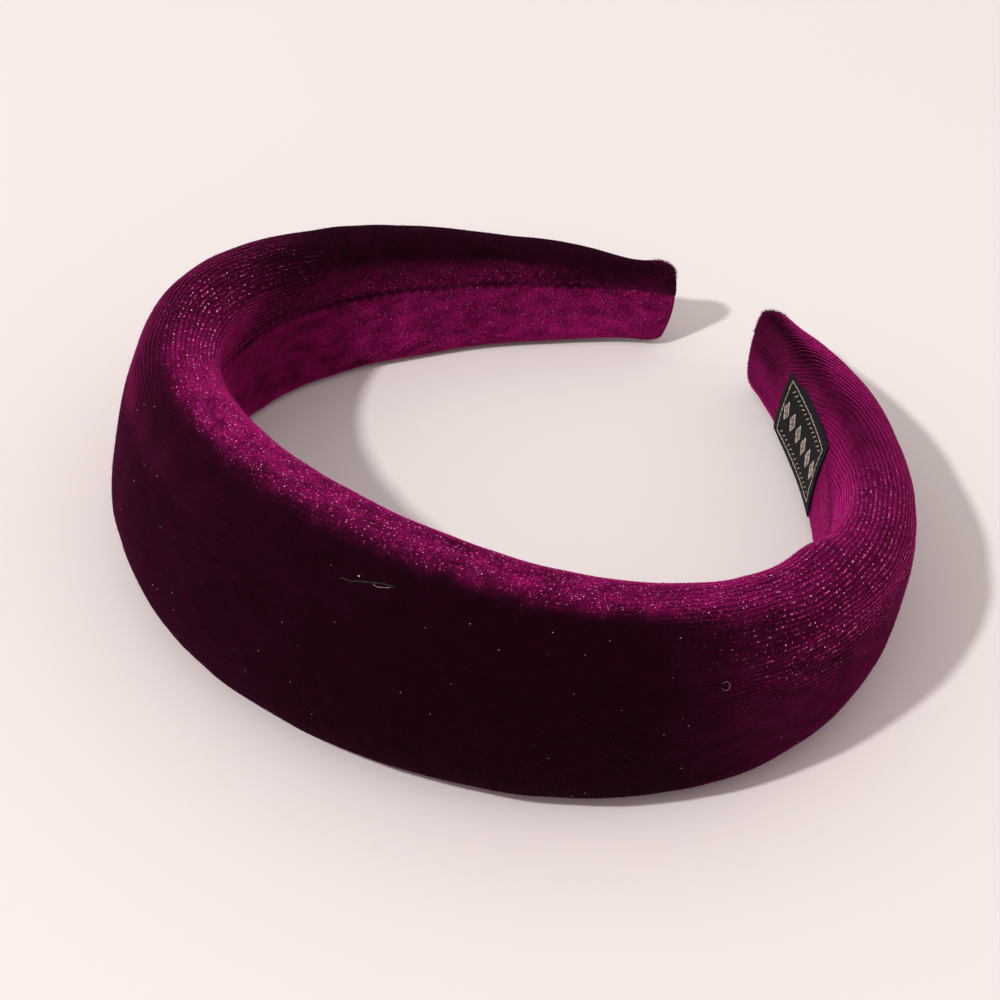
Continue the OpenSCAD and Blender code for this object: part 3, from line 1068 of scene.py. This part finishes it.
# %% Ribs: rows of pile that open where the band bends
RIB_WANDER, RIB_ROUNDNESS = 1.8, 0.8
WOBBLE_STRETCH, PATCH_STRETCH, PATCH_CONTRAST = (60, 130), (190, 420), 4.0
wobble = noise_on(tree, rib_uv, WOBBLE_STRETCH, 2.0)
rib_place = node(tree, "ShaderNodeSeparateXYZ", None, Vector=rib_uv)
row = plus(tree, times(tree, rib_place.outputs["Y"], 1 / RIB_PITCH), times(tree, wobble, RIB_WANDER))
rib_wave = maths(tree, "ABSOLUTE", maths(tree, "SINE", times(tree, row, math.pi)))
rib_wave = maths(tree, "POWER", rib_wave, RIB_ROUNDNESS)
valley = times(tree, less(tree, 1.0, rib_wave), rib_mask)
patchy = times(tree, less(tree, noise_on(tree, rib_uv, PATCH_STRETCH, 2.5), 0.5), PATCH_CONTRAST)
print("the ribs take", len(tree.nodes), "nodes")

# %% [markdown]
# A glint is a short length of fibre that happens to face the light. White noise on its own would
# scatter them anywhere, but in a ribbed cloth they lie in rows. So each rib is cut in short cells, each
# cell draws a number, and the highest numbers shine. Each glint also faces its own way. Its bright pink
# is mixed into the colour too: where a glint is whole it is a metallic reflection that the render works
# out, and where it is only partly there it is a painted highlight.

# %% Glints: short lengths of fibre in the rows that catch the light
GLINT_SHARE, GLINT_SIZE, GLINT_SHARPNESS, GLINT_GAIN = 0.48, 6.0, 2.0, 3.0
CELL_SHIFT, CELL_JITTER, GLINT_HEIGHT = 0.37, 0.4, 2.0
FLECKS_FACE, FLECKS_SPREAD = (0.09, -0.71, 0.70), 0.7
half_row = plus(tree, times(tree, row, 2.0), 0.5)
row_number = maths(tree, "FLOOR", half_row)
along = plus(tree, times(tree, rib_place.outputs["X"], 1 / GRAIN_LEN), times(tree, row_number, CELL_SHIFT))
cell = node(tree, "ShaderNodeCombineXYZ", None, X=maths(tree, "FLOOR", along), Y=row_number).outputs[0]
drawn = node(tree, "ShaderNodeTexWhiteNoise", {"noise_dimensions": "2D"}, Vector=cell)
random_three = node(tree, "ShaderNodeSeparateColor", None, Color=drawn.outputs["Color"])
share_lit = less(tree, GLINT_SHARE, times(tree, valley, GLINT_SHARE))
limit = less(tree, 1.0, times(tree, glint_mask, share_lit))
above = maths(tree, "DIVIDE", less(tree, drawn.outputs["Value"], limit), GLINT_SHARE, True)


def from_middle(value, random):
    jitter = times(tree, less(tree, random, 0.5), CELL_JITTER)
    return less(tree, less(tree, maths(tree, "FRACT", value), 0.5), jitter)


dx, dy = from_middle(along, random_three.outputs[0]), from_middle(half_row, random_three.outputs[1])
off = plus(tree, times(tree, dx, dx), times(tree, times(tree, dy, dy), GLINT_HEIGHT))
spot = less(tree, 1.0, times(tree, off, GLINT_SIZE), True)
glints = times(tree, times(tree, spot, maths(tree, "POWER", above, GLINT_SHARPNESS)), GLINT_GAIN, True)
turned_fleck = vector_maths(
    tree, "MULTIPLY_ADD", i0=drawn.outputs["Color"], i1=(FLECKS_SPREAD,) * 3,
    i2=tuple(way - FLECKS_SPREAD / 2 for way in FLECKS_FACE))
fleck_way = vector_maths(tree, "SCALE", i0=turned_fleck, Scale=glints)
print("a glint is up to", round(GRAIN_LEN / MM, 2), "mm long")

# %% [markdown]
# The colour is painted light: it runs from a shaded plum to a lit one by the painted tone, which
# paints the velvet's sheen and shade onto the cloth, and the valleys between the ribs are painted darker
# as shade. A single mix by the painted light would look airbrushed, so coarse noise brushes the pile,
# stretched noise makes it patchy along the ribs, and fine noise grains it.

# %% Colour of the pile
PILE_FINENESS, BRUSH_FINENESS = 3300.0, 110.0
GRAIN_LIFT, GRAIN_SHARPNESS, GRAIN_MEAN, GRAIN_LEAST, GRAIN_SPREAD = 1.88, 4.0, 0.85, 0.25, 0.5
PATCH_LEAST, PATCH_SPREAD, BRUSH_LEAST, BRUSH_SPREAD = 0.40, 0.18, 0.1, 1.8
VALLEY_PAINTED_SHADE, GLINT_HUE_SHARPNESS = 0.95, 3.0
pile = noise_in(tree, place, PILE_FINENESS, 1.0, 0.6)
brushed = noise_in(tree, place, BRUSH_FINENESS, 4.0, 0.6)
grain = maths(tree, "POWER", times(tree, pile, GRAIN_LIFT), GRAIN_SHARPNESS)
grain_size = plus(tree, times(tree, glint_mask, GRAIN_SPREAD), GRAIN_LEAST, True)
grain = plus(tree, times(tree, less(tree, grain, GRAIN_MEAN), grain_size), GRAIN_MEAN)
# Painted shade: the colour is darker in the valleys between the ribs.
shade = less(tree, 1.0, times(tree, valley, VALLEY_PAINTED_SHADE), True)
patch_size = plus(tree, times(tree, glint_mask, PATCH_SPREAD), PATCH_LEAST)
patched = plus(tree, times(tree, patchy, patch_size), 1.0)
brushed_painted_light = plus(tree, times(tree, brushed, BRUSH_SPREAD), BRUSH_LEAST)
# The painted light and shade of the pile, made patchy and brushed by noise.
uneven_painted_light = times(tree, times(tree, painted_light_mask, patched), brushed_painted_light)
factor = times(tree, times(tree, uneven_painted_light, grain), shade, True)
plum = mix_colour(tree, factor, PLUM_SHADED, PLUM_LIT)
glint_hue = maths(tree, "POWER", random_three.outputs[2], GLINT_HUE_SHARPNESS)
glint_colour = mix_colour(tree, glint_hue, GLINT_DIM, GLINT_BRIGHT)
# A whole glint is metallic and its reflection is rendered; a partial one puts its pink into the colour as a
# painted highlight.
set_inputs(tree, shader, Base_Color=mix_colour(tree, glints, plum, glint_colour))
print("with its colour, the velvet takes", len(tree.nodes), "nodes")

# %% Lean, relief and sheen of the pile
LEAN_LEAST, LEAN_SPREAD = 0.65, 0.7
PILE_MATT, GLINT_GLOSS, PILE_REFLECTION = 0.95, 0.45, 0.03
flat_way = node(tree, "ShaderNodeNewGeometry").outputs["Normal"]
lean_scale = plus(tree, times(tree, brushed, LEAN_SPREAD), LEAN_LEAST)
leant = vector_maths(tree, "SCALE", i0=nap_way, Scale=lean_scale)
fibre_way = turn_towards(tree, vector_maths(tree, "ADD", i0=flat_way, i1=leant))
rib_height = times(tree, rib_wave, rib_mask)
ribbed = node(
    tree, "ShaderNodeBump", None, Strength=1.0, Distance=RIB_BUMP, Height=rib_height, Normal=fibre_way)
piled = node(
    tree, "ShaderNodeBump", None, Strength=1.0, Distance=PILE_BUMP, Height=pile, Normal=ribbed.outputs[0])
kept_way = vector_maths(tree, "SCALE", i0=piled.outputs[0], Scale=less(tree, 1.0, glints))
flecked = vector_maths(tree, "ADD", i0=kept_way, i1=fleck_way)
roughness = less(tree, PILE_MATT, times(tree, glints, GLINT_GLOSS))
set_inputs(
    tree, shader, Normal=turn_towards(tree, flecked), Roughness=roughness, Metallic=glints,
    Specular_IOR_Level=PILE_REFLECTION, Sheen_Weight=SHEEN_WEIGHT, Sheen_Roughness=SHEEN_SOFTNESS,
    Sheen_Tint=SHEEN_TINT)
velvet_cover.data.materials.append(velvet)
print("the finished velvet has", len(tree.nodes), "nodes")

# %% [markdown]
# ## Fibres by themselves
# A loose fibre is matt. The light that comes a little through it from behind is painted into its
# colour, which is lighter than the cloth's shaded plum. It could share the velvet's material, but it has
# no ribs and no weave to follow. It only needs the painted light and shade of the cloth that it stands
# on, which each spike took along as an attribute.

# %% The loose pile's fibres
# Shaded and lit fibre colours: the cloth's painted light and shade, lighter overall for painted light through
# the fibre.
FIBRE_SHADED, FIBRE_LIT = (0.085, 0.006, 0.042, 1), (0.24, 0.008, 0.10, 1)
fibre, tree, shader = new_material("pile_fibre")
fibre_colour = mix_colour(tree, attribute(tree, "painted_light"), FIBRE_SHADED, FIBRE_LIT)
set_inputs(
    tree, shader, Base_Color=fibre_colour, Roughness=0.9, Specular_IOR_Level=0.1, Sheen_Weight=0.15,
    Sheen_Tint=SHEEN_TINT)
loose_pile.data.materials.append(fibre)
print(fibre.name, "is on", loose_pile.name)

# %% [markdown]
# Lint and the label's threads are spun yarn. Seen close, spun yarn runs between a darker and a paler
# shade and has a fine uneven twist. Two materials for the lint and one for the threads all need this, so
# it is a node group with named inputs: built once, and placed in each material with its own values.

# %% A node group for spun yarn
yarn_group = bpy.data.node_groups.new("spun_yarn", "ShaderNodeTree")
for name, way, kind in (
    ("Place", "INPUT", "NodeSocketVector"), ("Fineness", "INPUT", "NodeSocketFloat"),
    ("Dark", "INPUT", "NodeSocketColor"), ("Pale", "INPUT", "NodeSocketColor"),
    ("Colour", "OUTPUT", "NodeSocketColor"), ("Twist", "OUTPUT", "NodeSocketFloat"),
):
    yarn_group.interface.new_socket(name=name, in_out=way, socket_type=kind)
given, made = yarn_group.nodes.new("NodeGroupInput"), yarn_group.nodes.new("NodeGroupOutput")
twist = noise_in(yarn_group, given.outputs["Place"], given.outputs["Fineness"], 2.0)
yarn_colour = mix_colour(yarn_group, twist, given.outputs["Dark"], given.outputs["Pale"])
set_inputs(yarn_group, made, Colour=yarn_colour, Twist=twist)


def yarn_material(name, dark, pale, fineness, depth, roughness):
    material, tree, shader = new_material(name)
    yarn = node(
        tree, "ShaderNodeGroup", {"node_tree": yarn_group}, Place=object_place(tree), Fineness=fineness,
        Dark=dark, Pale=pale)
    bump = node(tree, "ShaderNodeBump", None, Strength=0.5, Distance=depth * MM, Height=yarn.outputs["Twist"])
    set_inputs(tree, shader, Base_Color=yarn.outputs["Colour"], Normal=bump.outputs[0], Roughness=roughness)
    return material


print(yarn_group.name, "has", len(yarn_group.interface.items_tree), "sockets")

# %% The lint
LINT_DARK, LINT_PALE = (0.003, 0.006, 0.005), (0.75, 0.62, 0.66)
for piece, colour in ((dark_lint, LINT_DARK), (pale_lint, LINT_PALE)):
    darker = tuple(0.5 * c for c in colour) + (1,)
    piece.data.materials.append(yarn_material(piece.name, darker, colour + (1,), 2500.0, 0.05, 0.8))
    print(piece.name, "runs from", darker[:3], "to", colour)

# %% [markdown]
# ## The ribbon
# The label is woven so tightly that one sees a fine grid rather than threads. An image of a weave would
# need a file, and two crossed waves do the same. They read the ribbon's own UV map, so the threads run
# along its edges.

# %% The woven ribbon and its threads
WARP, WEFT, WEAVE_DEPTH = 1250.0, 900.0, 0.08 * MM
# Painted light and shade: the weave is lit where its threads rise and shaded between them, over the bump.
RIBBON_SHADED, RIBBON_LIT = (0.0035, 0.0035, 0.004, 1), (0.011, 0.011, 0.013, 1)
THREAD_DARK, THREAD_PALE = (0.30, 0.22, 0.17, 1), (0.72, 0.60, 0.52, 1)
ribbon, tree, shader = new_material("black_ribbon")
uv = node(tree, "ShaderNodeUVMap", {"uv_map": "cloth"}).outputs[0]
warp, weft = (
    node(tree, "ShaderNodeTexWave", {"wave_type": "BANDS", "bands_direction": way}, Vector=uv, Scale=fineness)
    for way, fineness in (("X", WARP), ("Y", WEFT)))
weave = times(tree, warp.outputs["Fac"], weft.outputs["Fac"])
bump = node(tree, "ShaderNodeBump", None, Strength=0.8, Distance=WEAVE_DEPTH, Height=weave)
set_inputs(
    tree, shader, Base_Color=mix_colour(tree, weave, RIBBON_SHADED, RIBBON_LIT), Normal=bump.outputs[0],
    Roughness=0.8, Specular_IOR_Level=0.15)
woven_label.data.attributes.remove(woven_label.data.attributes["grid_place"])
woven_label.data.materials.clear()
woven_label.data.materials.append(ribbon)
label_threads.data.materials.append(yarn_material("pale_thread", THREAD_DARK, THREAD_PALE, 1800.0, 0.06, 0.5))
print(woven_label.name, "is", ribbon.name, "and", label_threads.name, "are pale thread")

# %% [markdown]
# ## Riding on the frame
# A headband has no hinge: the whole of it bends. Nothing here moves on its own, so every piece rides on
# the one body. The cover stands for the padded solid and the ribbon for the label.

# %% Tie the pieces to the frame
for piece, slot in (
    (velvet_cover, "velvet"), (loose_pile, "velvet"), (dark_lint, "velvet"), (pale_lint, "velvet"),
    (woven_label, "woven_label"), (label_threads, "woven_label"),
):
    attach(piece, "root")
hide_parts("padded_band")
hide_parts("label")

# %% [markdown]
# ## Floor, light and camera
# A pale floor, one soft key light from the front left and a pale surround that fills the shadows. Three
# lights are the usual start for a product, but one light and its single shadow show best how the band
# stands on its edge, and dark velvet needs that contrast.

# %% The floor
FLOOR_HALF, PALE_PAPER = 3.0, (0.840, 0.798, 0.778, 1)
bm = bmesh.new()
bmesh.ops.create_grid(bm, x_segments=1, y_segments=1, size=FLOOR_HALF)
floor = piece_from(bm, "floor")
paper, tree, shader = new_material("pale_table")
set_inputs(tree, shader, Base_Color=PALE_PAPER, Roughness=0.9)
floor.data.materials.append(paper)
print("the floor is", 2 * FLOOR_HALF, "m wide")

# %% The lights
LIGHT_AZIMUTH, LIGHT_HEIGHT, LIGHT_AWAY, LIGHT_SIZE = -16.5, 44.8, 3.2, 0.18
KEY_POWER, KEY_COLOUR = 64.0, (0.99, 0.99, 0.98)
SURROUND, SURROUND_COLOUR = 0.70, (1.0, 0.90, 0.89, 1)


def seen_from(azimuth, height):
    """The way towards a place round the object: azimuth 0 is in front, at -Y."""
    a, e = math.radians(azimuth), math.radians(height)
    return Vector((math.sin(a) * math.cos(e), -math.cos(a) * math.cos(e), math.sin(e)))


key = bpy.data.lights.new("key", "AREA")
key.shape, key.size, key.energy, key.color = "DISK", LIGHT_SIZE, KEY_POWER, KEY_COLOUR
key_light = in_scene("key", key)
key_light.location = seen_from(LIGHT_AZIMUTH, LIGHT_HEIGHT) * LIGHT_AWAY
key_light.rotation_euler = seen_from(LIGHT_AZIMUTH, LIGHT_HEIGHT).to_track_quat("Z", "Y").to_euler()
world = bpy.data.worlds.new("surround")
world.use_nodes = True
set_inputs(world.node_tree, world.node_tree.nodes["Background"], Color=SURROUND_COLOUR, Strength=SURROUND)
bpy.context.scene.world = world
bpy.context.scene.view_settings.view_transform = "Standard"
print("the key light hangs at", [round(c, 2) for c in key_light.location], "m")

# %% [markdown]
# A Track To constraint could aim the camera, but it always keeps the horizon level. The photo that the
# object was built from is turned by a few degrees, so the camera's own axes are worked out and turned.

# %% The camera
CAMERA_AZIMUTH, CAMERA_HEIGHT, CAMERA_ROLL = 28.754, 39.599, 7.1
CAMERA_AWAY, LENS, SENSOR = 587.1, 115.58, 36.0
CAMERA_AIM = (3.93, -15.14, 22.0)
camera_data = bpy.data.cameras.new("camera")
camera_data.lens, camera_data.sensor_width = LENS, SENSOR
camera_data.clip_start, camera_data.clip_end = 0.01, 20
camera = in_scene("camera", camera_data)
back = seen_from(CAMERA_AZIMUTH, CAMERA_HEIGHT)
level = Vector((math.cos(math.radians(CAMERA_AZIMUTH)), math.sin(math.radians(CAMERA_AZIMUTH)), 0))
upright = back.cross(level)
roll = math.radians(CAMERA_ROLL)
right_way = level * math.cos(roll) + upright * math.sin(roll)
up_way = upright * math.cos(roll) - level * math.sin(roll)
camera.rotation_mode = "QUATERNION"
camera.rotation_quaternion = Matrix((right_way, up_way, back)).transposed().to_quaternion()
camera.location = (Vector(CAMERA_AIM) + back * CAMERA_AWAY) * MM
bpy.context.scene.camera = camera
print("the camera stands at", [round(c, 2) for c in camera.location], "m")
